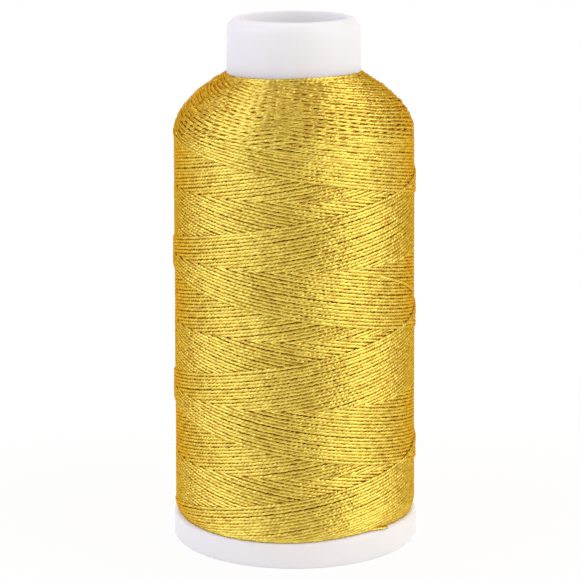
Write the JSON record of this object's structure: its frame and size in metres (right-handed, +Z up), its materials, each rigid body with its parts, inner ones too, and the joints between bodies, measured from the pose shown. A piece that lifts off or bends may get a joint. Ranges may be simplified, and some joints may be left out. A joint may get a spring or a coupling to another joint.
{
  "type": "spool of thread",
  "caption": "Cross-wound thread on a white moulded spool: a tapered tube with a rounded open head and a spool-pin bore, pressed on a round foot.",
  "frame": {"origin": "middle of the foot's underside, on the spool's axis", "axes": "+Z up along the spool's axis, from the foot to the head; -Y is the front, towards +X the thread's end lies on the foot"},
  "size_m": [0.06, 0.06, 0.1275],
  "materials": {
    "spool_plastic": "white moulded polypropylene with a soft satin surface",
    "gold_thread": "gold metallised film twisted into thread, with bright glints"
  },
  "bodies": {
    "root": {"spool_tube": "spool_plastic", "foot_flange": "spool_plastic", "thread_inner_layers": "gold_thread", "thread_outer_turns": "gold_thread", "thread_tail": "gold_thread"}
  },
  "joints": []
}
